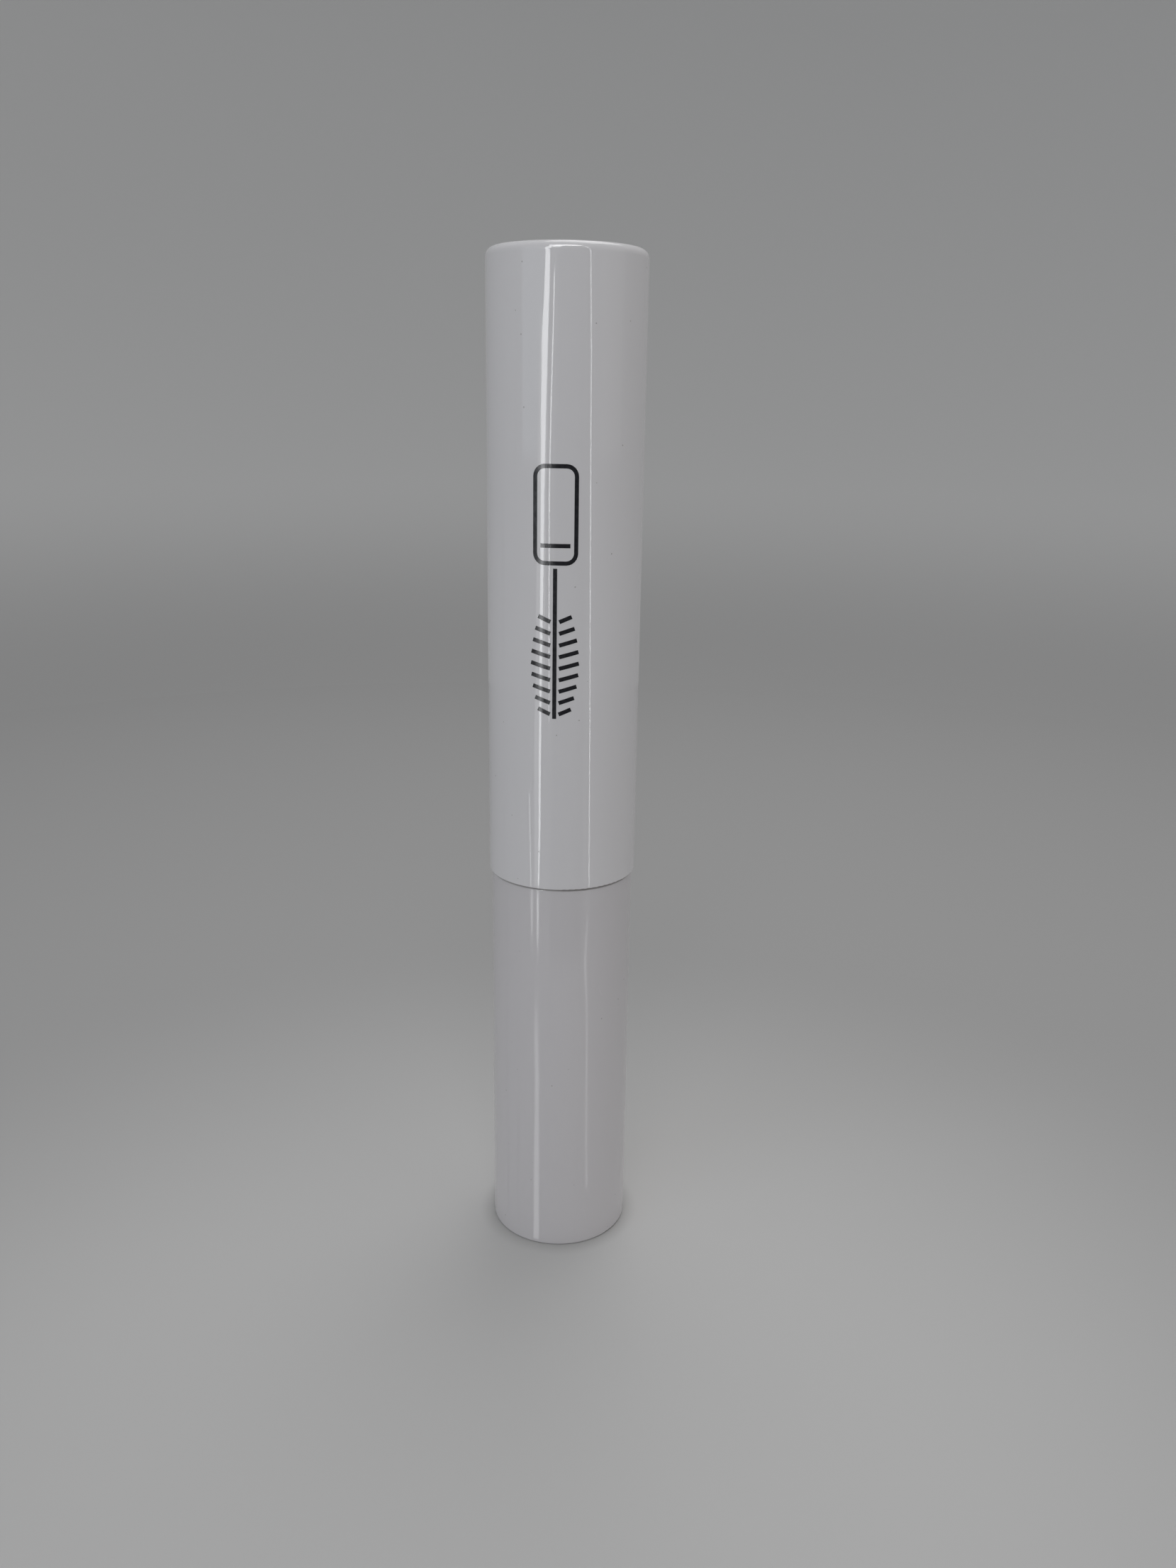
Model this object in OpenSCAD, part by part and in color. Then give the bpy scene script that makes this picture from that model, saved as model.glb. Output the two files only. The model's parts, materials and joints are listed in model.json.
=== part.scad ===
// Round mascara tube: a double-walled bottle and a long screw cap that carries the brush.
// Millimetres. +Z is up, and the origin is the centre of the face that the tube stands on.
// Turning the cap by the right-hand rule about +Z unscrews it.

/* [Outside] */
// Height of the closed tube
total_h = 121; // [116:0.5:126]
// Outside diameter of the cap
cap_d = 18; // [17.8:0.1:18.6]
// Outside diameter of the bottle
bottle_d = 17.4; // [17.2:0.1:17.6]
// Height of the cap's lower edge
seam_h = 49.4; // [47:0.2:52]
// Open gap between the cap's lower edge and the bottle
seam_gap = 0.12; // [0.08:0.02:0.2]
// Rounding of the cap's top edge
cap_edge_r = 1; // [0.6:0.1:1.4]
// Rounding of the bottle's bottom edge
base_edge_r = 0.3; // [0.2:0.1:0.6]
// Rounding of the two edges that meet at the seam
seam_edge_r = 0.15; // [0.1:0.05:0.2]

/* [Walls and fits] */
// Wall of the cap shell and of the bottle sleeve
shell_wall = 0.9; // [0.8:0.05:1]
// Wall of the inner vial
vial_wall = 0.8; // [0.7:0.05:0.9]
// Radial gap between pieces that are pushed together
push_gap = 0.05; // [0.03:0.01:0.08]
// Thickness of the plug that closes the bottle's bottom
plug_h = 1.5; // [1.2:0.1:1.8]
// Diameter of the blank label under the bottle
label_d = 12; // [10:0.5:13]

/* [Neck and thread] */
// Outside diameter of the vial's neck, without its thread
neck_d = 11.2; // [11:0.1:11.4]
// Diameter of the neck's opening
mouth_d = 9.2; // [9:0.1:9.4]
// Height of the neck above the seam
neck_h = 12; // [11.5:0.25:13]
// Rise of the cap in one turn, with two thread starts
lead = 6; // [5.6:0.1:6.4]
// Length of each thread ridge, in degrees
thread_turn = 360; // [300:12:360]
// Depth of the thread ridges on the neck
thread_depth = 0.9; // [0.7:0.05:1]

/* [Wand and brush] */
// Diameter of the wand's stem
stem_d = 3.5; // [3.3:0.1:3.7]
// Play of the stem in the wiper's opening, on the radius
wiper_gap = 0.07; // [0.05:0.01:0.1]
// Height of the brush's tip when the cap is closed
tip_h = 5; // [4.8:0.2:6]
// Length of the bristled part
brush_len = 27; // [24:0.5:28]
// Widest diameter of the brush
brush_d = 7.6; // [6.5:0.1:7.8]
// Diameter of the twisted core wire
wire_d = 1.4; // [1.2:0.1:1.5]
// Height of the steel weight in the cap
weight_h = 10; // [8:0.5:14]
// Level of the mascara in the vial
fill_h = 43; // [38:0.5:44]

/* [Hidden] */
$fn = 96;

// How far a cutting shape runs past the face that it cuts
cut = 1;

cap_r = cap_d / 2;
bottle_r = bottle_d / 2;
bottle_top = seam_h - seam_gap;
sleeve_bore_r = bottle_r - shell_wall;
cap_bore_r = cap_r - shell_wall;

// Snap beads hold the base plug and the shoulder ring in the sleeve.
bead_r = 0.2;
bead_groove_r = 0.25;

// Bottom of the bottle
plug_r = sleeve_bore_r - push_gap;
label_r = label_d / 2;
label_recess = 0.3;
label_h = 0.15;

// Shoulder ring
ring_h = 1.3;
ring_z = bottle_top - ring_h;

// Inner vial
vial_r = sleeve_bore_r - push_gap;
vial_bore_r = vial_r - vial_wall;
vial_floor = 1.2;
vial_floor_edge_r = 1.5;
vial_cavity_z = plug_h + vial_floor;
neck_r = neck_d / 2;
mouth_r = mouth_d / 2;
neck_top = seam_h + neck_h;
shoulder_edge = 0.6;
funnel_h = 2.2;
neck_bead_z = seam_h + 0.7;
neck_bead_h = 0.8;
neck_bead_r = neck_r + 0.7;

// Thread: two starts, so that neighbouring ridges are half a lead apart.
starts = 2;
pitch = lead / starts;
ridge_root_w = 1.5;
ridge_crest_w = 0.7;
ridge_sink = 0.3;
ridge_step = 12;
ridge_fade = 36;
ridge_end_share = 0.02;
thread_z = seam_h + 2.4;
thread_crest_r = neck_r + thread_depth;
thread_play = 0.3;
cap_thread_bore_r = thread_crest_r + thread_play;
cap_thread_crest_r = neck_r + 0.25;

// Wiper
wiper_flange_h = 0.8;
wiper_flange_r = mouth_r + 0.9;
wiper_wall = 0.65;
wiper_tube_len = 7;
wiper_cone_len = 4;
wiper_lip_h = 0.8;
wiper_lip_w = 0.4;
wiper_top = neck_top + wiper_flange_h;
wiper_r = mouth_r - push_gap;
wiper_bore_r = wiper_r - wiper_wall;
wiper_lip_r = stem_d / 2 + wiper_gap;

// Mascara, with the channel that the brush works in
formula_gap = 0.04;
formula_edge_r = 0.5;
channel_r = 4.3;
channel_z = tip_h - 0.8;

// Cap: inner cap, washer, weight
rest_gap = 0.05;
washer_h = 1;
roof_z = wiper_top + rest_gap + washer_h;
roof_h = 1.7;
inner_cap_z = seam_h + 0.5;
rib_h = 0.4;
inner_cap_r = cap_bore_r - push_gap - rib_h;
rib_count = 12;
rib_w = 0.9;
rib_sink = 0.5;
rib_inset = 1;
weight_r = 6.4;
weight_rim = 2;
boss_h = 8;
boss_r = 3.2;
boss_shelf_r = 4.4;
boss_shelf_h = 1.2;
weight_z = roof_z + roof_h + boss_h + rest_gap;
inner_cap_top = weight_z + weight_h + weight_rim;
inner_cap_h = inner_cap_top - inner_cap_z;
inner_cup_r = weight_r + push_gap;
cap_roof_h = 1.4;

// Wand
stem_r = stem_d / 2;
stem_flange_r = 3;
stem_flange_z = roof_z - washer_h;
stem_flange_h = washer_h - 0.02;
stem_head_h = 7;
stem_head_play = 0.03;
stem_barb_r = 0.2;
stem_barb_pitch = 2;
brush_tip_gap = 1;
bare_wire = 3;
stem_end_z = tip_h + brush_tip_gap + brush_len + bare_wire;
stem_nose_h = 1.2;
stem_nose_r = 1.1;
wire_r = wire_d / 2;
wire_grip = 9;
wire_play = 0.02;
wire_tip_edge_r = wire_r * 0.4;
wire_top_edge_r = 0.1;

// Brush: a row of thin discs, one for each turn of fibres
brush_z = tip_h + brush_tip_gap;
disc_h = 0.2;
disc_pitch = 1;
hub_r = wire_r + 0.2;
brush_tip_share = 0.6;
brush_root_share = 0.88;

// Half outline of a rod from z0 to z1, with its lower and upper edges rounded.
module rod_outline(r, z0, z1, low, high) {
    translate([0, z0 + low]) square([r, z1 - high - z0 - low]);
    translate([0, z0]) square([r - low, low + (z1 - z0) / 2]);
    translate([0, z1 - high - (z1 - z0) / 3]) square([r - high, high + (z1 - z0) / 3]);
    translate([r - low, z0 + low]) circle(low);
    translate([r - high, z1 - high]) circle(high);
}

// A ring of rectangular section.
module ring(r_in, r_out, z0, h) {
    rotate_extrude() translate([r_in, z0]) square([r_out - r_in, h]);
}

// A ring of round section.
module bead(at_r, z, r) {
    rotate_extrude() translate([at_r, z]) circle(r);
}

// How far a ridge stands up at an angle along it: it fades in and out at its ends.
function fade(a) = min(1, min(a, thread_turn - a) / ridge_fade);

// Section of a ridge at an angle along it, from its root radius towards its crest radius.
function ridge_section(a, root_r, crest_r) =
    let (
        side = sign(crest_r - root_r),
        sunk = root_r - side * ridge_sink,
        up = sunk + (crest_r - sunk) * max(fade(a), ridge_end_share),
        z = lead * a / 360
    )
    [for (p = [
        [sunk, z - ridge_root_w / 2],
        [up, z - ridge_crest_w / 2],
        [up, z + ridge_crest_w / 2],
        [sunk, z + ridge_root_w / 2]
    ]) [p[0] * cos(a), p[0] * sin(a), p[1]]];

// One helical thread ridge that starts at z = 0 on the +X side and climbs to the left.
// A ridge whose crest is outside its root has its faces turned the other way round.
module thread_ridge(root_r, crest_r) {
    steps = thread_turn / ridge_step;
    points = [for (i = [0 : steps]) each ridge_section(i * ridge_step, root_r, crest_r)];
    sides = [
        for (i = [0 : steps - 1])
            for (k = [0 : 3])
                for (t = [[0, 1, 5], [0, 5, 4]])
                    [for (v = t) 4 * i + (v >= 4 ? 4 : 0) + (k + v % 4) % 4]
    ];
    ends = [[3, 2, 1], [3, 1, 0], [4 * steps, 4 * steps + 1, 4 * steps + 2],
        [4 * steps, 4 * steps + 2, 4 * steps + 3]];
    faces = concat(sides, ends);
    outward = crest_r > root_r;
    polyhedron(points, outward ? faces : [for (f = faces) [f[2], f[1], f[0]]]);
}

module thread(root_r, crest_r, z) {
    for (i = [0 : starts - 1])
        translate([0, 0, z]) rotate(i * 360 / starts) thread_ridge(root_r, crest_r);
}

// Radius of the brush at a share of its length, from its tip to its root.
function brush_r(t) =
    brush_d / 2 * (t < 0.5
        ? brush_tip_share + (1 - brush_tip_share) * sin(180 * t)
        : brush_root_share + (1 - brush_root_share) * sin(180 * t));

// ---- Bottle ----

// Gloss outer tube, open at both ends
module bottle_sleeve() {
    color("white")
    difference() {
        rotate_extrude() rod_outline(bottle_r, 0, bottle_top, base_edge_r, seam_edge_r);
        translate([0, 0, -cut]) cylinder(r = sleeve_bore_r, h = bottle_top + 2 * cut);
        bead(sleeve_bore_r, plug_h / 2, bead_groove_r);
        bead(sleeve_bore_r, ring_z + ring_h / 2, bead_groove_r);
    }
}

// Disc that closes the bottom, with a recess for the label
module base_plug() {
    color("whitesmoke")
    difference() {
        union() {
            cylinder(r = plug_r, h = plug_h);
            bead(plug_r, plug_h / 2, bead_r);
        }
        translate([0, 0, -cut]) cylinder(r = label_r + push_gap, h = cut + label_recess);
    }
}

module base_label() {
    color("gainsboro")
    translate([0, 0, label_recess - label_h]) cylinder(r = label_r, h = label_h);
}

// Container with a threaded neck
module inner_vial() {
    color("ivory")
    difference() {
        union() {
            rotate_extrude() polygon([
                [0, plug_h],
                [vial_r, plug_h],
                [vial_r, ring_z - shoulder_edge],
                [vial_r - shoulder_edge, ring_z],
                [neck_r, ring_z],
                [neck_r, neck_top],
                [0, neck_top]
            ]);
            ring(mouth_r + vial_wall / 2, neck_bead_r, neck_bead_z, neck_bead_h);
            thread(neck_r, thread_crest_r, thread_z);
        }
        rotate_extrude() rod_outline(
            vial_bore_r, vial_cavity_z, ring_z - funnel_h, vial_floor_edge_r, 0);
        rotate_extrude() polygon([
            [0, ring_z - funnel_h - cut],
            [vial_bore_r, ring_z - funnel_h - cut],
            [vial_bore_r, ring_z - funnel_h],
            [mouth_r, ring_z - vial_wall],
            [0, ring_z - vial_wall]
        ]);
        translate([0, 0, ring_z - vial_wall - cut])
            cylinder(r = mouth_r, h = neck_top - ring_z + vial_wall + 2 * cut);
    }
}

// Ring that holds the vial down in the sleeve
module shoulder_ring() {
    color("white")
    union() {
        ring(neck_r + push_gap, plug_r, ring_z, ring_h);
        difference() {
            bead(plug_r, ring_z + ring_h / 2, bead_r);
            translate([0, 0, ring_z]) cylinder(r = plug_r - 2 * bead_r, h = ring_h);
        }
    }
}

// Soft insert in the neck that wipes the stem and the brush
module wiper() {
    cone_top = neck_top - wiper_tube_len;
    lip_top = cone_top - wiper_cone_len;
    lip_out = wiper_lip_r + wiper_lip_w;
    color("lightgray")
    rotate_extrude() polygon([
        [wiper_bore_r, wiper_top],
        [wiper_flange_r, wiper_top],
        [wiper_flange_r, neck_top],
        [wiper_r, neck_top],
        [wiper_r, cone_top],
        [lip_out, lip_top],
        [lip_out, lip_top - wiper_lip_h],
        [wiper_lip_r, lip_top - wiper_lip_h],
        [wiper_lip_r, lip_top],
        [wiper_bore_r, cone_top]
    ]);
}

// Mascara on the vial's wall and floor
module mascara_formula() {
    color([0.03, 0.03, 0.03])
    difference() {
        rotate_extrude() rod_outline(
            vial_bore_r - formula_gap, vial_cavity_z + formula_gap, fill_h,
            vial_floor_edge_r, formula_edge_r);
        translate([0, 0, channel_z]) cylinder(r = channel_r, h = fill_h);
    }
}

// ---- Cap ----

// Loose steel slug in the cap
module cap_weight() {
    color("silver")
    translate([0, 0, weight_z]) cylinder(r = weight_r, h = weight_h);
}

// Gloss outer cap
module cap_shell() {
    color("white")
    difference() {
        rotate_extrude() rod_outline(cap_r, seam_h, total_h, seam_edge_r, cap_edge_r);
        translate([0, 0, seam_h - cut])
            cylinder(r = cap_bore_r, h = total_h - cap_roof_h - seam_h + cut);
    }
}

// Threaded insert: screw socket below, boss for the stem, cup for the weight above
module inner_cap() {
    color("snow")
    difference() {
        union() {
            translate([0, 0, inner_cap_z]) cylinder(r = inner_cap_r, h = inner_cap_h);
            for (i = [0 : rib_count - 1])
                rotate(i * 360 / rib_count)
                    translate([inner_cap_r - rib_sink, -rib_w / 2, inner_cap_z + rib_inset])
                        cube([rib_sink + rib_h, rib_w, inner_cap_h - 2 * rib_inset]);
        }
        difference() {
            translate([0, 0, inner_cap_z - cut])
                cylinder(r = cap_thread_bore_r, h = roof_z - inner_cap_z + cut);
            thread(cap_thread_bore_r, cap_thread_crest_r, thread_z + pitch / 2);
        }
        difference() {
            translate([0, 0, roof_z + roof_h]) cylinder(r = inner_cup_r, h = inner_cap_top - roof_z);
            translate([0, 0, roof_z]) cylinder(r = boss_r, h = roof_h + boss_h);
            translate([0, 0, weight_z - rest_gap - boss_shelf_h])
                cylinder(r = boss_shelf_r, h = boss_shelf_h);
        }
        translate([0, 0, roof_z - cut])
            cylinder(r = stem_r + stem_head_play, h = cut + stem_head_h + stem_head_play);
        for (z = [stem_barb_pitch : stem_barb_pitch : stem_head_h - 1])
            bead(stem_r, roof_z + z, stem_barb_r + stem_head_play);
    }
}

// Soft washer that closes on the wiper
module sealing_washer() {
    color("darkgray")
    ring(stem_flange_r + push_gap, wiper_flange_r, stem_flange_z, stem_flange_h);
}

// Stem with a barbed head, a flange and a blind hole for the wire
module wand_stem() {
    color("whitesmoke")
    difference() {
        union() {
            rotate_extrude() polygon([
                [0, stem_end_z],
                [stem_nose_r, stem_end_z],
                [stem_r, stem_end_z + stem_nose_h],
                [stem_r, roof_z + stem_head_h],
                [0, roof_z + stem_head_h]
            ]);
            translate([0, 0, stem_flange_z]) cylinder(r = stem_flange_r, h = stem_flange_h);
            for (z = [stem_barb_pitch : stem_barb_pitch : stem_head_h - 1])
                bead(stem_r, roof_z + z, stem_barb_r);
        }
        translate([0, 0, stem_end_z - cut]) cylinder(r = wire_r + wire_play, h = cut + wire_grip);
    }
}

// Core wire, from the brush's tip to its seat in the stem
module brush_core() {
    color("silver")
    rotate_extrude() rod_outline(
        wire_r, tip_h, stem_end_z + wire_grip - wire_play, wire_tip_edge_r, wire_top_edge_r);
}

// Fibres, as a row of thin discs on a hub
module brush_bristles() {
    count = floor(brush_len / disc_pitch);
    color([0.08, 0.08, 0.08])
    difference() {
        union() {
            translate([0, 0, brush_z]) cylinder(r = hub_r, h = count * disc_pitch);
            for (i = [0 : count - 1])
                translate([0, 0, brush_z + (i + 0.5) * disc_pitch - disc_h / 2])
                    cylinder(r = brush_r((i + 0.5) / count), h = disc_h);
        }
        translate([0, 0, brush_z - cut]) cylinder(r = wire_r + wire_play, h = brush_len + 2 * cut);
    }
}

bottle_sleeve();
base_plug();
base_label();
inner_vial();
shoulder_ring();
wiper();
mascara_formula();
cap_weight();
cap_shell();
inner_cap();
sealing_washer();
wand_stem();
brush_core();
brush_bristles();
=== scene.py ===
"""Looks of the mascara tube: plastics, printed mark, twisted-wire brush, and a pale studio."""
import json
import math
import random

import bpy
from mathutils import Matrix, Vector, noise


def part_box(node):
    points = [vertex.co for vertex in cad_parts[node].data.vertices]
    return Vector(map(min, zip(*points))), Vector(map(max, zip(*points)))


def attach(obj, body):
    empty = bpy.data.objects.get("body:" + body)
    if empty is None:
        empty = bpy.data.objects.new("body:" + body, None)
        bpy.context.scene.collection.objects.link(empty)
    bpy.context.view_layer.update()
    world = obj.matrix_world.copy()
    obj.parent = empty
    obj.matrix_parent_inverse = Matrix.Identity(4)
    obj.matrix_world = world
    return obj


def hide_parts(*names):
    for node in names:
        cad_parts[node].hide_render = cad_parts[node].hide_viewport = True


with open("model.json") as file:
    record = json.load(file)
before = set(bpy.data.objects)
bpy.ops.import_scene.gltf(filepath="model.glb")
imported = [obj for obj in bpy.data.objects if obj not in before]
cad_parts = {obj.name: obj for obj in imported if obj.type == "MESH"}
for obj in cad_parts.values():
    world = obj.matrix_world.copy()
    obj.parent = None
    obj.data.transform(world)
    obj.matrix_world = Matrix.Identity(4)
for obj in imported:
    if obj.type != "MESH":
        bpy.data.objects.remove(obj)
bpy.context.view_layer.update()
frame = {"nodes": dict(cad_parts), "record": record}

MM = 0.001

# ---- Sizes taken from the frame ----
shell_low, shell_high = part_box("cap_shell")
sleeve_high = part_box("bottle_sleeve")[1]
core_low, core_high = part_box("brush_core")
brush_low, brush_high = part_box("brush_bristles")
stem_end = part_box("wand_stem")[0].z
vial_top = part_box("inner_vial")[1].z
cap_r = shell_high.x
bottle_r = sleeve_high.x
brush_r = brush_high.x
brush_len = brush_high.z - brush_low.z

# ---- Printed mark: a wand, drawn in thin strokes down the front of the cap ----
ink_thickness = 0.015 * MM
ink_sink = 0.01 * MM
stroke_w = 0.46 * MM
stroke_step = 0.25 * MM
mark_azimuth = math.radians(-6.6)
mark_top = 98.3 * MM
handle_w = 4.6 * MM
handle_h = 10.4 * MM
handle_corner = 1.1 * MM
handle_band = 1.9 * MM
wand_gap = 0.35 * MM
wand_h = 17.0 * MM
fibre_rows = 9
fibre_pitch = 1.32 * MM
fibre_half_w = 2.75 * MM
fibre_end_share = 0.62
fibre_first = 0.4
fibre_rise = 0.6 * MM
fibre_gap = 0.5 * MM

# ---- Brush ----
strand_r = 0.34 * MM
strand_orbit = 0.355 * MM
twist_pitch = 2 * MM
strand_rings_per_turn = 20
strand_sides = 10
filaments_per_turn = 92
filament_seed = 11
filament_root = 0.3 * MM
filament_margin = 0.1 * MM
filament_r = 0.042 * MM
filament_tip_r = 0.026 * MM
tip_share = 0.6
root_share = 0.88
paste_seed = 5
paste_sides = 72
paste_row_h = 0.11 * MM
paste_margin = 0.15 * MM
paste_root_r = 0.82 * MM
paste_wing = 1.05 * MM
clot_count = 150

# ---- Camera ----
camera_at = Vector((0, -150.4 * MM, 104.9 * MM))
camera_yaw, camera_pitch, camera_roll = (math.radians(a) for a in (1.19, 16.64, 0.85))
camera_lens = 29.295
camera_sensor_w = 36

# ---- Studio: a floor with a painted pool of light ahead of the tube and a painted contact shadow at its foot, a wall, soft boxes and gloss cards ----
floor_r = 340 * MM
floor_rings = (0.2 * MM, 40 * MM, 120 * MM, floor_r)
sweep_r = 200 * MM
sweep_steps = 16
wall_h = 750 * MM
wall_tone_h = 70 * MM
studio_segments = 96
light_pool_ahead = 45 * MM
light_pool_inner = 32 * MM
light_pool_outer = 135 * MM
contact_shadow_w = 2.2 * MM
soft_box = 0.66
card_reach = 76
card_clearance = 0.3
card_columns = 5
screen_r = 95 * MM
screen_steps = 8


class Look:
    """A material with a Principled shader, and short ways to add nodes to it."""

    def __init__(self, name, sockets):
        self.material = bpy.data.materials.new(name)
        self.material.use_nodes = True
        self.tree = self.material.node_tree
        self.shader = self.tree.nodes["Principled BSDF"]
        self.place = self.tree.nodes.new("ShaderNodeTexCoord").outputs["Object"]
        self.normal = None
        for socket, value in sockets.items():
            self.shader.inputs[socket].default_value = value

    def node(self, kind, inputs, **settings):
        """A new node; inputs maps a socket's name or number to a value or to another output."""
        made = self.tree.nodes.new(kind)
        for key, value in settings.items():
            setattr(made, key, value)
        for key, value in inputs.items():
            if isinstance(value, bpy.types.NodeSocket):
                self.tree.links.new(value, made.inputs[key])
            else:
                made.inputs[key].default_value = value
        return made

    def stretched(self, stretch):
        """The place on the object with each axis multiplied."""
        return self.node("ShaderNodeMapping", {"Vector": self.place, "Scale": stretch}).outputs[0]

    def noise(self, scale, detail=2.0, stretch=(1, 1, 1)):
        """Soft noise from 0 to 1, with about scale waves in a metre."""
        inputs = {"Vector": self.stretched(stretch), "Scale": scale, "Detail": detail}
        return self.node("ShaderNodeTexNoise", inputs).outputs[0]

    def spots(self, scale):
        """Distance to the nearest of many scattered points, in cells."""
        inputs = {"Vector": self.place, "Scale": scale}
        return self.node("ShaderNodeTexVoronoi", inputs).outputs["Distance"]

    def math(self, operation, a, b=0.0):
        return self.node("ShaderNodeMath", {0: a, 1: b}, operation=operation).outputs[0]

    def remap(self, value, low, high, to_low=0.0, to_high=1.0):
        """A smooth step of value between two levels."""
        inputs = {"Value": value, 1: low, 2: high, 3: to_low, 4: to_high}
        step = self.node("ShaderNodeMapRange", inputs, interpolation_type="SMOOTHSTEP")
        return step.outputs[0]

    def mix(self, factor, a, b):
        """A colour between a and b."""
        return self.node("ShaderNodeMix", {0: factor, 6: a, 7: b}, data_type="RGBA").outputs[2]

    def axis(self, index):
        """One coordinate on the object, in metres."""
        return self.node("ShaderNodeSeparateXYZ", {0: self.place}).outputs[index]

    def radius(self, ahead=0.0):
        """Distance from the tube's axis, or from an upright line that far in front of it, in metres."""
        inputs = {"Vector": self.place, "Location": (0, ahead, 0), "Scale": (1, 1, 0)}
        flat = self.node("ShaderNodeMapping", inputs).outputs[0]
        return self.node("ShaderNodeVectorMath", {0: flat}, operation="LENGTH").outputs["Value"]

    def raise_by(self, height, depth):
        """Adds a bump of that depth in metres where height is 1."""
        inputs = {"Height": height, "Distance": depth, "Strength": 1.0}
        if self.normal is not None:
            inputs["Normal"] = self.normal
        self.normal = self.node("ShaderNodeBump", inputs).outputs[0]

    def wear(self, value, socket):
        self.tree.links.new(value, self.shader.inputs[socket])

    def done(self):
        if self.normal is not None:
            self.tree.links.new(self.normal, self.shader.inputs["Normal"])
        return self.material


def colour(red, green, blue):
    return (red, green, blue, 1.0)


# ---- Materials ----

def hairlines(look):
    """1 along sparse thin scratches that run mostly up and down."""
    level = look.noise(260.0, 1.0, (1, 1, 0.16))
    off = look.math("ABSOLUTE", look.math("SUBTRACT", level, 0.5))
    line = look.remap(off, 0.0, 0.004, 1.0, 0.0)
    return look.math("MULTIPLY", line, look.remap(look.noise(96.0, 1.0), 0.56, 0.66))


def shell_look(name, base, tint, gloss, wave_depth, drawn_depth, seam_shade_levels):
    """White moulded plastic: flow waviness, drawn lines, smears, scratches, dust, and painted shade along
    the seam.

    gloss is the range of roughness, both depths are in metres, and the last argument gives the height where
    the painted seam shade is full and the height where it ends."""
    look = Look(name, {"IOR": 1.5})
    plain = look.mix(look.noise(60.0, 3.0, (1, 1, 0.5)), base, tint)
    specks = look.remap(look.spots(430.0), 0.022, 0.045, 1.0, 0.0)
    # Painted shade: a darker band on the outside of both shells along the seam where they meet; the
    # scattered specks are dust.
    shaded_level, unshaded_level = seam_shade_levels
    seam = look.remap(look.axis(2), unshaded_level, shaded_level)
    outside = look.remap(look.radius(), bottle_r - 0.5 * MM, bottle_r - 0.3 * MM)
    seam = look.math("MULTIPLY", seam, look.math("MULTIPLY", outside, 0.75))
    dirt = look.math("MULTIPLY", look.math("MAXIMUM", specks, seam), 0.6)
    dust_and_seam_shade = colour(0.33, 0.31, 0.29)
    look.wear(look.mix(dirt, plain, dust_and_seam_shade), "Base Color")
    scratches = hairlines(look)
    film = look.remap(look.noise(150.0, 4.0, (1, 1, 0.4)), 0.42, 0.72, *gloss)
    look.wear(look.math("ADD", film, look.math("MULTIPLY", scratches, 0.16)), "Roughness")
    look.raise_by(look.noise(70.0, 1.0, (1, 1, 0.45)), wave_depth)
    look.raise_by(look.noise(700.0, 1.0, (1, 1, 0.5)), wave_depth * 0.06)
    look.raise_by(look.noise(2600.0, 2.0, (1, 1, 0.012)), drawn_depth)
    look.raise_by(scratches, -0.6e-6)
    look.raise_by(specks, 6e-6)
    return look.done()


def cap_look():
    """High gloss, a little cool."""
    seam = shell_low.z
    return shell_look(
        "cap_gloss", colour(0.86, 0.844, 0.86), colour(0.845, 0.831, 0.847),
        (0.045, 0.08), 9e-6, 0.12e-6, (seam + 0.04 * MM, seam + 0.16 * MM))


def bottle_look():
    """Satin gloss, a little rosy, and a little darker than the cap: partly the plastic's own tone, partly
    painted shade.
    """
    seam = sleeve_high.z
    return shell_look(
        "bottle_satin", colour(0.755, 0.731, 0.748), colour(0.735, 0.713, 0.728),
        (0.10, 0.15), 11e-6, 0.35e-6, (seam - 0.06 * MM, seam - 0.22 * MM))


def plug_look():
    """Fine spark-eroded matte plastic with scuffs on the rim that it stands on."""
    look = Look("plug_matte", {"IOR": 1.5})
    scuff = look.remap(look.noise(900.0, 4.0), 0.55, 0.7)
    look.wear(look.mix(scuff, colour(0.76, 0.75, 0.76), colour(0.62, 0.61, 0.60)), "Base Color")
    look.wear(look.remap(look.noise(500.0, 3.0), 0.3, 0.7, 0.42, 0.56), "Roughness")
    look.raise_by(look.noise(5200.0, 2.0), 4e-6)
    return look.done()


def label_look():
    """Coated paper: faint fibres and a slight yellowing towards the edge."""
    look = Look("label_paper", {"IOR": 1.45})
    edge = look.remap(look.radius(), 4.6 * MM, 6.0 * MM)
    fibres = look.noise(3000.0, 3.0, (1, 0.2, 1))
    aged = look.mix(edge, colour(0.79, 0.79, 0.775), colour(0.72, 0.71, 0.68))
    grey = look.remap(fibres, 0.4, 0.7, 0, 0.3)
    look.wear(look.mix(grey, aged, colour(0.66, 0.655, 0.64)), "Base Color")
    look.wear(look.remap(fibres, 0.3, 0.7, 0.34, 0.5), "Roughness")
    look.raise_by(fibres, 3e-6)
    return look.done()


def smear_black(look, mask, plain):
    """Mascara residue over a plain colour where mask is 1."""
    return look.mix(mask, plain, colour(0.012, 0.010, 0.010))


def vial_look():
    """Milky natural polypropylene with dark residue at the mouth."""
    look = Look("vial_natural", {"IOR": 1.49, "Subsurface Weight": 0.25, "Subsurface Scale": 0.0012})
    flow = look.noise(240.0, 3.0, (1, 1, 0.5))
    plain = look.mix(flow, colour(0.80, 0.80, 0.765), colour(0.75, 0.75, 0.72))
    high = look.remap(look.axis(2), vial_top - 0.8 * MM, vial_top, 0.0, 0.6)
    smudge = look.remap(look.noise(420.0, 3.0), 0.42, 0.62)
    look.wear(smear_black(look, look.math("MULTIPLY", high, smudge), plain), "Base Color")
    look.wear(look.remap(flow, 0.3, 0.7, 0.2, 0.32), "Roughness")
    look.raise_by(look.noise(900.0, 2.0), 3e-6)
    return look.done()


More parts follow.
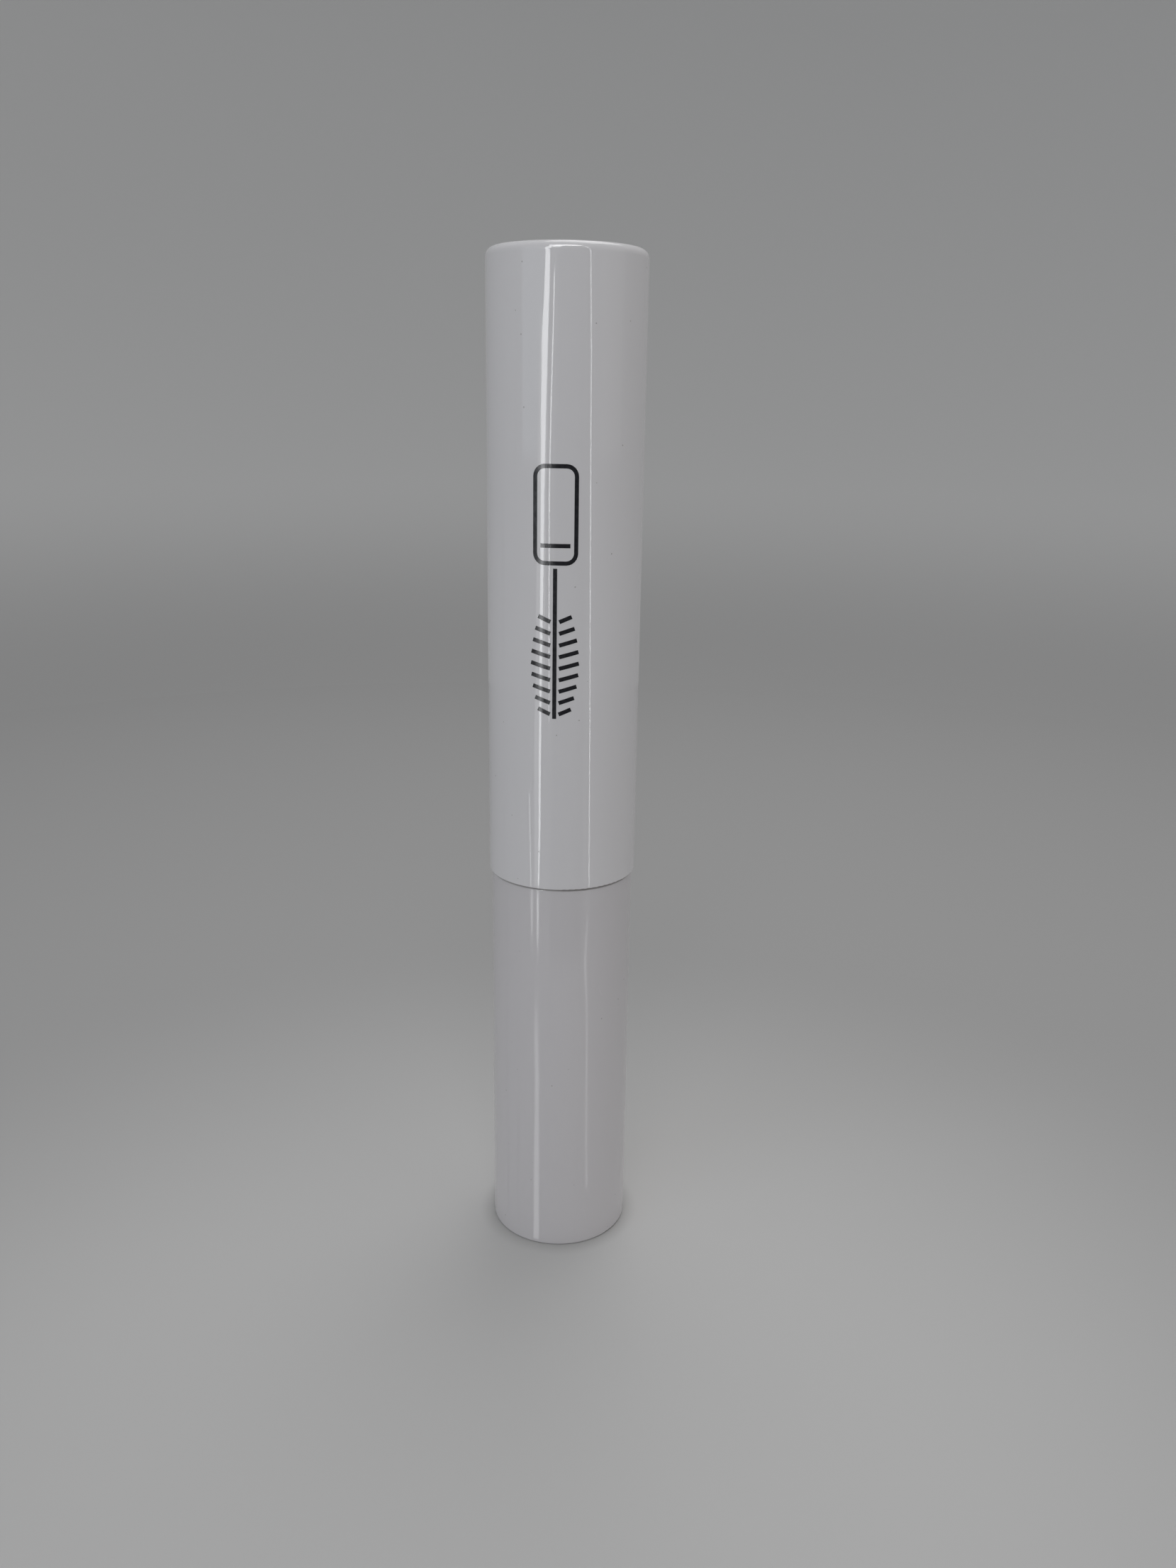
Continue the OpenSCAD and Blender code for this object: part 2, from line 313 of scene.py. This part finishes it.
def wiper_look():
    """Soft waxy polyethylene, stained where the brush is drawn through."""
    look = Look("wiper_soft", {"IOR": 1.51, "Subsurface Weight": 0.2, "Subsurface Scale": 0.001})
    plain = look.mix(look.noise(500.0, 3.0), colour(0.78, 0.78, 0.76), colour(0.72, 0.72, 0.70))
    ragged = look.math("MULTIPLY", look.noise(620.0, 3.0), 1.3 * MM)
    reach = look.math("SUBTRACT", look.radius(), ragged)
    bore = look.remap(reach, 3.35 * MM, 3.6 * MM, 1.0, 0.0)
    film = look.remap(look.noise(420.0, 3.0, (1, 1, 0.25)), 0.35, 0.65, 0.8, 1.0)
    look.wear(smear_black(look, look.math("MULTIPLY", bore, film), plain), "Base Color")
    look.wear(look.remap(bore, 0.0, 1.0, 0.42, 0.2), "Roughness")
    look.raise_by(bore, 30e-6)
    look.raise_by(look.noise(1400.0, 2.0), 3e-6)
    return look.done()


def mascara_look():
    """Wet black cream with soft ridges."""
    look = Look("mascara_cream", {"IOR": 1.46, "Coat Weight": 0.35, "Coat Roughness": 0.1})
    ridges = look.noise(700.0, 4.0)
    look.wear(look.mix(ridges, colour(0.006, 0.005, 0.006), colour(0.018, 0.015, 0.015)), "Base Color")
    look.wear(look.remap(ridges, 0.3, 0.7, 0.18, 0.42), "Roughness")
    look.raise_by(ridges, 60e-6)
    look.raise_by(look.noise(4200.0, 3.0), 12e-6)
    return look.done()


def steel_look():
    """Turned steel: fine rings about the axis."""
    look = Look("weight_steel", {"Metallic": 1.0})
    rings = look.noise(3000.0, 2.0, (0.02, 0.02, 1))
    look.wear(look.mix(rings, colour(0.56, 0.56, 0.57), colour(0.44, 0.44, 0.45)), "Base Color")
    look.wear(look.remap(rings, 0.3, 0.7, 0.22, 0.38), "Roughness")
    look.raise_by(rings, 4e-6)
    return look.done()


def insert_look():
    """Moulded polypropylene with ejector haze."""
    look = Look("insert_white", {"IOR": 1.49})
    haze = look.noise(200.0, 3.0, (1, 1, 0.3))
    look.wear(look.mix(haze, colour(0.79, 0.79, 0.79), colour(0.72, 0.72, 0.725)), "Base Color")
    look.wear(look.remap(haze, 0.3, 0.7, 0.28, 0.42), "Roughness")
    look.raise_by(look.noise(1200.0, 2.0, (1, 1, 0.2)), 3e-6)
    return look.done()


def washer_look():
    """Closed-cell foam liner."""
    look = Look("washer_foam", {"IOR": 1.45})
    cells = look.spots(6000.0)
    look.wear(look.mix(cells, colour(0.36, 0.36, 0.37), colour(0.52, 0.52, 0.53)), "Base Color")
    look.wear(look.remap(cells, 0.1, 0.7, 0.8, 0.6), "Roughness")
    look.raise_by(cells, 25e-6)
    return look.done()


def stem_look():
    """White acetal, with mascara left on it towards the brush."""
    look = Look("stem_acetal", {"IOR": 1.48})
    drawn = look.noise(900.0, 3.0, (1, 1, 0.08))
    plain = look.mix(drawn, colour(0.80, 0.80, 0.79), colour(0.74, 0.74, 0.73))
    ragged = look.math("MULTIPLY", look.noise(380.0, 4.0, (1, 1, 0.35)), 22 * MM)
    level = look.math("SUBTRACT", look.axis(2), ragged)
    coat = look.remap(level, stem_end - 6.5 * MM, stem_end - 5.5 * MM, 1.0, 0.0)
    film_level = look.math("SUBTRACT", look.axis(2), look.math("MULTIPLY", ragged, 1.3))
    film = look.remap(film_level, stem_end - 12 * MM, stem_end + 2 * MM, 0.75, 0.0)
    dirt = look.math("MAXIMUM", coat, film)
    look.wear(smear_black(look, dirt, plain), "Base Color")
    look.wear(look.remap(drawn, 0.3, 0.7, 0.2, 0.34), "Roughness")
    look.raise_by(coat, 40e-6)
    look.raise_by(drawn, 2e-6)
    return look.done()


def wire_look():
    """Drawn stainless wire, dark with mascara between the strands."""
    look = Look("wire_steel", {"Metallic": 0.85})
    stain = look.remap(look.noise(1300.0, 3.0), 0.35, 0.55)
    look.wear(look.mix(stain, colour(0.42, 0.42, 0.44), colour(0.03, 0.028, 0.028)), "Base Color")
    look.wear(look.remap(stain, 0.0, 1.0, 0.24, 0.4), "Roughness")
    look.raise_by(look.noise(5200.0, 2.0), 3e-6)
    return look.done()


def fibre_look():
    """Nylon fibres with a thin coat of mascara."""
    look = Look("fibre_black", {"IOR": 1.53})
    coat = look.noise(1500.0, 3.0)
    look.wear(look.mix(coat, colour(0.010, 0.009, 0.010), colour(0.040, 0.036, 0.036)), "Base Color")
    look.wear(look.remap(coat, 0.3, 0.7, 0.24, 0.5), "Roughness")
    look.raise_by(coat, 8e-6)
    return look.done()


def ink_look():
    """Screen-printed ink, nearly as glossy as the shell, with a slightly uneven lay-down."""
    look = Look("mark_ink", {"IOR": 1.5})
    lay = look.noise(2600.0, 3.0)
    look.wear(look.mix(lay, colour(0.012, 0.012, 0.015), colour(0.040, 0.040, 0.046)), "Base Color")
    look.wear(look.remap(lay, 0.3, 0.7, 0.12, 0.2), "Roughness")
    look.raise_by(lay, 1.5e-6)
    return look.done()


def studio_look():
    """Matt board: a painted pool of light ahead of the tube, a painted contact shadow at its foot, and mid
    grey further off.
    """
    look = Look("studio_board", {"IOR": 1.4, "Specular IOR Level": 0.0})
    grain = look.noise(9.0, 3.0)
    pale = look.mix(grain, colour(0.70, 0.695, 0.69), colour(0.67, 0.666, 0.66))
    # Painted pool of light: pale within a pool ahead of the tube, mid grey beyond it.
    outside_light_pool = look.remap(look.radius(light_pool_ahead), light_pool_inner, light_pool_outer)
    floor = look.mix(outside_light_pool, pale, colour(0.50, 0.497, 0.495))
    # Painted contact shadow: the floor is darker in a narrow ring round the tube's foot.
    past_contact_shadow = look.remap(look.radius(), bottle_r, bottle_r + contact_shadow_w)
    floor = look.mix(past_contact_shadow, colour(0.58, 0.576, 0.57), floor)
    up = look.remap(look.axis(2), 0.0, wall_tone_h)
    look.wear(look.mix(up, floor, colour(0.70, 0.697, 0.693)), "Base Color")
    look.wear(look.remap(look.noise(60.0, 3.0), 0.3, 0.7, 0.5, 0.62), "Roughness")
    look.raise_by(look.noise(1800.0, 3.0), 6e-6)
    return look.done()


looks = {
    "cap_white": cap_look(),
    "bottle_white": bottle_look(),
    "plug_white": plug_look(),
    "label_blank": label_look(),
    "vial_natural": vial_look(),
    "wiper_soft": wiper_look(),
    "mascara_black": mascara_look(),
    "weight_steel": steel_look(),
    "insert_white": insert_look(),
    "washer_grey": washer_look(),
    "stem_white": stem_look(),
    "wire_steel": wire_look(),
    "bristle_black": fibre_look(),
    "mark_ink": ink_look(),
}

for part in frame["record"]["subparts"]:
    for held in frame["nodes"][part["node"]].material_slots:
        held.material = looks[part["material_slot"]]


# ---- Meshes ----

def around(count):
    """The angles of that many equal steps round a circle."""
    return [2 * math.pi * k / count for k in range(count)]


class Shape:
    """Points and faces that are collected into one mesh object."""

    def __init__(self):
        self.points, self.faces = [], []

    def strip(self, rings, closed=False):
        """Joins rings of equally many points side by side, with a cap at each end unless closed."""
        sides, first = len(rings[0]), len(self.points)
        for ring in rings:
            self.points.extend(ring)
        count = len(rings)
        for i in range(count if closed else count - 1):
            a, b = first + i * sides, first + (i + 1) % count * sides
            for k in range(sides):
                n = (k + 1) % sides
                self.faces.append((a + k, a + n, b + n, b + k))
        if not closed:
            last = first + (count - 1) * sides
            self.faces.append(tuple(range(first + sides - 1, first - 1, -1)))
            self.faces.append(tuple(range(last, last + sides)))

    def rod(self, path, radii, sides):
        """A closed round rod along a path, with a radius at each point."""
        rings, across = [], None
        for i, point in enumerate(path):
            along = (path[min(i + 1, len(path) - 1)] - path[max(i - 1, 0)]).normalized()
            across = along.orthogonal() if across is None else across - along * across.dot(along)
            across.normalize()
            beside = along.cross(across)
            rings.append([
                point + (across * math.cos(a) + beside * math.sin(a)) * radii[i] for a in around(sides)])
        self.strip(rings)

    def object(self, name, material, smooth=True):
        mesh = bpy.data.meshes.new(name)
        mesh.from_pydata([tuple(p) for p in self.points], [], self.faces)
        mesh.materials.append(material)
        for face in mesh.polygons:
            face.use_smooth = smooth
        mesh.update()
        made = bpy.data.objects.new(name, mesh)
        bpy.context.scene.collection.objects.link(made)
        return made


def polar(radius, angle, height):
    """A point by its distance from the axis, its angle from the front (-Y) and its height."""
    return Vector((radius * math.sin(angle), -radius * math.cos(angle), height))


# ---- Printed mark ----

def resampled(points, step, closed=False):
    """The same outline with points no further apart than step."""
    out = []
    ends = points[1:] + points[:1] if closed else points[1:]
    for a, b in zip(points, ends):
        parts = max(1, math.ceil((b - a).length / step))
        out.extend(a.lerp(b, k / parts) for k in range(parts))
    return out if closed else out + [points[-1]]


def stroke(shape, points, closed=False):
    """One ink stroke: points are (across, height) on the cap's unrolled front."""
    path = resampled(points, stroke_step, closed)
    count, rings = len(path), []
    for i, point in enumerate(path):
        before = path[i - 1] if closed or i > 0 else point
        after = path[(i + 1) % count] if closed or i < count - 1 else point
        along = (after - before).normalized()
        side = Vector((-along.y, along.x)) * stroke_w / 2
        ring = []
        for edge, radius in ((side, cap_r + ink_thickness), (-side, cap_r + ink_thickness),
                             (-side, cap_r - ink_sink), (side, cap_r - ink_sink)):
            flat = point + edge
            ring.append(polar(radius, mark_azimuth + flat.x / cap_r, flat.y))
        rings.append(ring)
    shape.strip(rings, closed)


def rounded_box(width, top, bottom, corner, steps=6):
    """Outline of a box with round corners, anticlockwise."""
    out = []
    for quarter, (sx, y) in enumerate(((1, top - corner), (-1, top - corner),
                                       (-1, bottom + corner), (1, bottom + corner))):
        centre = Vector((sx * (width / 2 - corner), y))
        for k in range(steps + 1):
            a = math.pi / 2 * (quarter + k / steps)
            out.append(centre + Vector((math.cos(a), math.sin(a))) * corner)
    return out


def printed_mark():
    """A wand: handle with a band, stem, and rows of fibres that widen towards the middle."""
    shape = Shape()
    handle_bottom = mark_top - handle_h
    stroke(shape, rounded_box(handle_w, mark_top, handle_bottom, handle_corner), closed=True)
    band = handle_bottom + handle_band
    reach = handle_w / 2 - stroke_w - wand_gap / 2
    stroke(shape, [Vector((-reach, band)), Vector((reach, band))])
    wand_top = handle_bottom - stroke_w / 2 - wand_gap
    wand_bottom = wand_top - wand_h
    stroke(shape, [Vector((0, wand_top)), Vector((0, wand_bottom))])
    for row in range(fibre_rows):
        share = (row + 0.5) / fibre_rows
        half = fibre_half_w * (fibre_end_share + (1 - fibre_end_share) * math.sin(math.pi * share))
        y = wand_bottom + fibre_pitch * (row + fibre_first)
        for side in (-1, 1):
            stroke(shape, [
                Vector((side * fibre_gap, y)), Vector((side * half, y + fibre_rise))])
    mark = shape.object("cap_mark", looks["mark_ink"], smooth=False)
    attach(mark, "cap")


# ---- Brush ----

def brush_share(t):
    """Brush radius at a share of its length from the tip, as a share of the widest radius."""
    end = tip_share if t < 0.5 else root_share
    return end + (1 - end) * math.sin(math.pi * t)


def core_wire():
    """Two strands twisted about each other, with rounded ends."""
    shape = Shape()
    length = core_high.z - core_low.z
    rings = round(length / twist_pitch * strand_rings_per_turn)
    for strand in (0, 1):
        path, radii = [], []
        for i in range(rings + 1):
            z = core_low.z + length * i / rings
            path.append(polar(strand_orbit, math.pi * strand + 2 * math.pi * z / twist_pitch, z))
            ends = min(i, rings - i)
            radii.append(strand_r * min(1.0, 0.45 + 0.3 * ends))
        shape.rod(path, radii, strand_sides)
    wire = shape.object("core_wire", looks["wire_steel"])
    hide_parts("brush_core")
    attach(wire, "cap")


def filament(shape, rng, z, angle, reach):
    """One half of a fibre: out from the core, leaning with its neighbours and curling a little."""
    lean = noise.noise(Vector((z / MM * 1.7, angle, 3.0)))
    swing = 0.10 * lean + rng.gauss(0, 0.035)
    lift = (0.16 * lean + rng.gauss(0, 0.07)) * MM
    path = []
    for k in range(4):
        share = k / 3
        radius = filament_root + (reach - filament_root) * share
        path.append(polar(radius, angle + swing * share * share, z + lift * share * share))
    taper = filament_tip_r - filament_r
    shape.rod(path, [filament_r + taper * k / 3 for k in range(4)], 4)


def filaments():
    """Fibres held between the strands, so that they fan out along a double helix."""
    shape, rng = Shape(), random.Random(filament_seed)
    turns = brush_len / twist_pitch
    count = round(turns * filaments_per_turn)
    low, high = brush_low.z + filament_margin, brush_high.z - filament_margin
    for i in range(count):
        t = (i + 0.5) / count
        z = low + (high - low) * t
        for wing in (0, 1):
            angle = 2 * math.pi * z / twist_pitch + math.pi * (wing + 0.5) + rng.gauss(0, 0.2)
            level = min(max(z + rng.gauss(0, 0.05) * MM, low), high)
            reach = brush_r * brush_share(t) * rng.uniform(0.92, 0.99)
            filament(shape, rng, level, angle, reach)
    brush = shape.object("brush_fibres", looks["bristle_black"])
    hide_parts("brush_bristles")
    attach(brush, "cap")


def paste_radius(angle, z, t):
    """Radius of the mascara held between the fibres: two wings that wind with the fibres."""
    wing = 0.5 + 0.5 * math.cos(2 * (angle - 2 * math.pi * z / twist_pitch - math.pi / 2))
    lump = noise.noise(polar(1.4, angle, z / MM * 0.9))
    fine = noise.noise(polar(4.5, angle, z / MM * 3.1))
    body = paste_root_r + paste_wing * wing * brush_share(t) * (0.75 + 0.9 * max(lump, -0.4))
    return body + 0.13 * MM * fine


def brush_paste():
    """Mascara packed round the core, and clots on the fibres."""
    shape, rng = Shape(), random.Random(paste_seed)
    rows = round(brush_len / paste_row_h)
    low, high = brush_low.z + paste_margin, brush_high.z - paste_margin
    rings = []
    for i in range(rows + 1):
        t = i / rows
        z = low + (high - low) * t
        taper = min(1.0, 0.5 + 5 * min(t, 1 - t) * brush_len / (10 * MM))
        rings.append([polar(paste_radius(a, z, t) * taper, -a, z) for a in around(paste_sides)])
    shape.strip(rings)
    for _ in range(clot_count):
        t = rng.uniform(0.03, 0.97)
        z = brush_low.z + brush_len * t
        angle = 2 * math.pi * z / twist_pitch + math.pi * (rng.choice((0, 1)) + 0.5)
        inner = brush_r * brush_share(t) * rng.uniform(0.45, 0.8)
        clot(shape, rng, angle + rng.gauss(0, 0.15), z, inner)
    paste = shape.object("brush_mascara", looks["mascara_black"])
    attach(paste, "cap")


def clot(shape, rng, angle, z, inner):
    """A drop of mascara drawn out along a fibre."""
    size = rng.uniform(0.09, 0.2) * MM
    outer = min(inner + size * rng.uniform(3, 6), 0.97 * brush_r)
    bulge = (0.15, 0.75, 1.0, 0.7, 0.2)
    path = [polar(inner + (outer - inner) * k / 4, angle, z) for k in range(5)]
    shape.rod(path, [size * share for share in bulge], 7)


# ---- Studio ----

def turned_board(name, profile, material):
    """An open surface turned about the tube's axis from (radius, height) points."""
    shape = Shape()
    shape.strip([[polar(r, a, h) for a in around(studio_segments)] for r, h in profile])
    shape.faces = [face for face in shape.faces if len(face) == 4]
    board = shape.object(name, material)
    return board


def studio():
    """A round floor, and a wall that curves up from it and only serves as every view's backdrop."""
    material = studio_look()
    turned_board("studio_floor", [(r, 0) for r in floor_rings], material)
    bend = [math.pi / 2 * k / sweep_steps for k in range(sweep_steps + 1)]
    curve = [(floor_r + sweep_r * math.sin(a), sweep_r * (1 - math.cos(a))) for a in bend]
    wall = turned_board("studio_wall", curve + [(floor_r + sweep_r, wall_h)], material)
    wall.visible_diffuse = False
    wall.visible_glossy = False
    wall.visible_shadow = False


def aimed(thing, place, target):
    """Puts a light at a place and turns it towards a target, with its height upright."""
    thing.location = place
    thing.rotation_euler = (target - place).to_track_quat("-Z", "Y").to_euler()


def panel(name, radiance, width, height, place, target, tint=(1, 1, 1)):
    """A rectangular light that the camera doesn't see directly."""
    data = bpy.data.lights.new(name, "AREA")
    data.shape = "RECTANGLE"
    data.size, data.size_y = width, height
    data.energy = radiance * math.pi * width * height
    data.color = tint
    light = bpy.data.objects.new(name, data)
    bpy.context.scene.collection.objects.link(light)
    aimed(light, Vector(place), Vector(target))
    light.visible_camera = False
    return light


def card(name, brightness, shape):
    """A card that shows only in gloss, as a bright line or as a dark one."""
    look = Look(name, {"Roughness": 0.9, "Emission Strength": brightness})
    grey = look.mix(look.noise(40.0), colour(0.04, 0.04, 0.04), colour(0.07, 0.07, 0.07))
    look.wear(grey, "Base Color")
    look.shader.inputs["Emission Color"].default_value = colour(0.97, 0.985, 1.0)
    made = shape.object(name, look.done())
    for ray in ("camera", "diffuse", "shadow"):
        setattr(made, "visible_" + ray, False)


def mirrored(name, brightness, marks, reach=card_reach):
    """A card that the camera sees mirrored in the tube's side.

    marks are (height in millimetres, azimuth and width in degrees) of its image on the tube, and
    reach is how many millimetres in front of the tube it stands, unless the floor is nearer."""
    shape, columns = Shape(), card_columns
    for height, azimuth, width in marks:
        radius = cap_r if height * MM > shell_low.z else bottle_r
        for k in range(columns):
            turn = math.radians(azimuth + width * (k / (columns - 1) - 0.5))
            at, normal = polar(radius, turn, height * MM), polar(1, turn, 0)
            ray = (at - camera_at).normalized()
            ray -= 2 * ray.dot(normal) * normal
            room = (height - card_clearance) / -ray.z if ray.z < 0 else reach
            shape.points.append(at + ray * min(reach, room) * MM)
    for row in range(len(marks) - 1):
        for k in range(columns - 1):
            a = row * columns + k
            shape.faces.append((a, a + 1, a + columns + 1, a + columns))
    card(name, brightness, shape)


def dark_screen():
    """A dark screen in front of the tube, which keeps its middle less glossy than its sides.

    Its lower and upper edge are (azimuth and width in degrees, height in millimetres)."""
    shape, steps = Shape(), screen_steps
    for azimuth, width, level in ((6, 50, -20), (11, 39, 200)):
        for k in range(steps + 1):
            turn = math.radians(azimuth + width * (k / steps - 0.5))
            shape.points.append(polar(screen_r, turn, level * MM))
    for k in range(steps):
        shape.faces.append((k, k + 1, steps + 2 + k, steps + 1 + k))
    card("dark_front", 0.0, shape)


def gloss_lines():
    """The bright and dark lines that a shiny round tube shows in a room with several lights."""
    mirrored("streak_core", 7.5, [
        (182, -11.0, 3.0), (120.3, -12.8, 3.0), (116, -13.4, 3.6), (112, -14.5, 4.2), (104, -15.4, 3.6),
        (96, -15.8, 2.6), (88, -16.0, 2.4), (72, -16.9, 1.4), (66, -17.1, 1.4), (56, -17.2, 1.3),
        (49.8, -17.9, 0.8)])
    mirrored("streak_soft", 1.5, [
        (114, -15.0, 6.0), (96, -16.5, 6.5), (80, -17.0, 6.5), (66, -19.0, 5.0), (49.8, -19.0, 4.0)],
        card_reach + 4)
    mirrored("streak_thin", 9.0, [
        (118, -8.3, 0.5), (112, -9.0, 0.6), (104, -10.2, 0.6), (96, -11.0, 0.6), (70, -10.4, 0.4)])
    mirrored("streak_far_left", 4.0, [(61, -25.4, 0.6), (54, -24.6, 0.6), (49.8, -24.0, 0.6)])
    mirrored("streak_right", 9.0, [
        (182, 13.0, 0.45), (120, 15.6, 0.45), (110, 17.0, 0.45), (90, 18.3, 0.45), (70, 19.8, 0.45),
        (49.8, 21.2, 0.45)])
    mirrored("bottle_streak", 7.0, [(49.1, -19.2, 1.3), (42, -19.0, 0.9)])
    mirrored("bottle_soft", 2.2, [
        (34, -20.0, 1.6), (30, -20.0, 3.4), (24, -19.3, 3.4), (12, -19.5, 4.4), (0.6, -19.5, 5.0)])
    mirrored("bottle_far_left", 3.0, [(49.1, -24.2, 2.4), (43, -24.0, 1.0)])
    mirrored("bottle_right", 2.2, [
        (46, 21.2, 0.8), (40, 19.4, 1.8), (34, 21.8, 1.1), (28, 22.2, 1.1), (20, 22.6, 1.3), (8, 24.2, 1.3)])
    mirrored("dark_line_near", 0.0, [(108, -37.0, 1.0), (50, -37.0, 1.0), (0.6, -38.0, 1.0)])
    mirrored("dark_line_far", 0.0, [(95, -50.0, 1.0), (50, -50.0, 1.0), (0.6, -50.0, 1.0)])
    dark_screen()


def lights():
    """An even pale surround, and soft lights from all sides, with one for the cap's top edge."""
    world = bpy.data.worlds.new("studio_world")
    world.use_nodes = True
    background = world.node_tree.nodes["Background"]
    background.inputs["Color"].default_value = colour(0.99, 0.995, 1.0)
    background.inputs["Strength"].default_value = 0.295
    bpy.context.scene.world = world
    middle = (0, 0, 60 * MM)
    panel("light_left", 0.66, soft_box, soft_box, (-0.66, -0.64, 0.37), middle, (0.80, 0.90, 1.0))
    panel("light_right", 0.21, soft_box, soft_box, (0.79, -0.35, 0.37), middle, (1.0, 0.98, 0.96))
    back = panel("light_back", 0.5, soft_box, soft_box, (0.25, 0.88, 0.45), middle)
    back.visible_glossy = False
    panel("light_front", 2.1, 0.16, 0.16, (-0.02, -0.26, 0.34), middle)
    panel("light_top", 2.2, 0.2, 0.2, (0.05, 0.11, 0.40), (0, 0, 0))
    rim = panel("light_rim", 9.0, 0.2, 0.12, (-0.01, -0.215, 0.33), (0, 0, 120 * MM))
    rim.visible_diffuse = False


def camera():
    """The camera, at the place and angle of the first view."""
    ahead = Vector((
        math.sin(camera_yaw) * math.cos(camera_pitch),
        math.cos(camera_yaw) * math.cos(camera_pitch),
        -math.sin(camera_pitch)))
    level = Vector((math.cos(camera_yaw), -math.sin(camera_yaw), 0))
    over = level.cross(ahead)
    right = level * math.cos(camera_roll) + over * math.sin(camera_roll)
    up = over * math.cos(camera_roll) - level * math.sin(camera_roll)
    data = bpy.data.cameras.new("camera")
    data.sensor_width = camera_sensor_w
    data.lens = camera_lens
    data.clip_start = 5 * MM
    data.clip_end = 10
    made = bpy.data.objects.new("camera", data)
    made.matrix_world = Matrix((right, up, -ahead)).transposed().to_4x4()
    made.location = camera_at
    bpy.context.scene.collection.objects.link(made)
    bpy.context.scene.camera = made


printed_mark()
core_wire()
filaments()
brush_paste()
studio()
lights()
gloss_lines()
camera()
bpy.context.scene.view_settings.view_transform = "Standard"
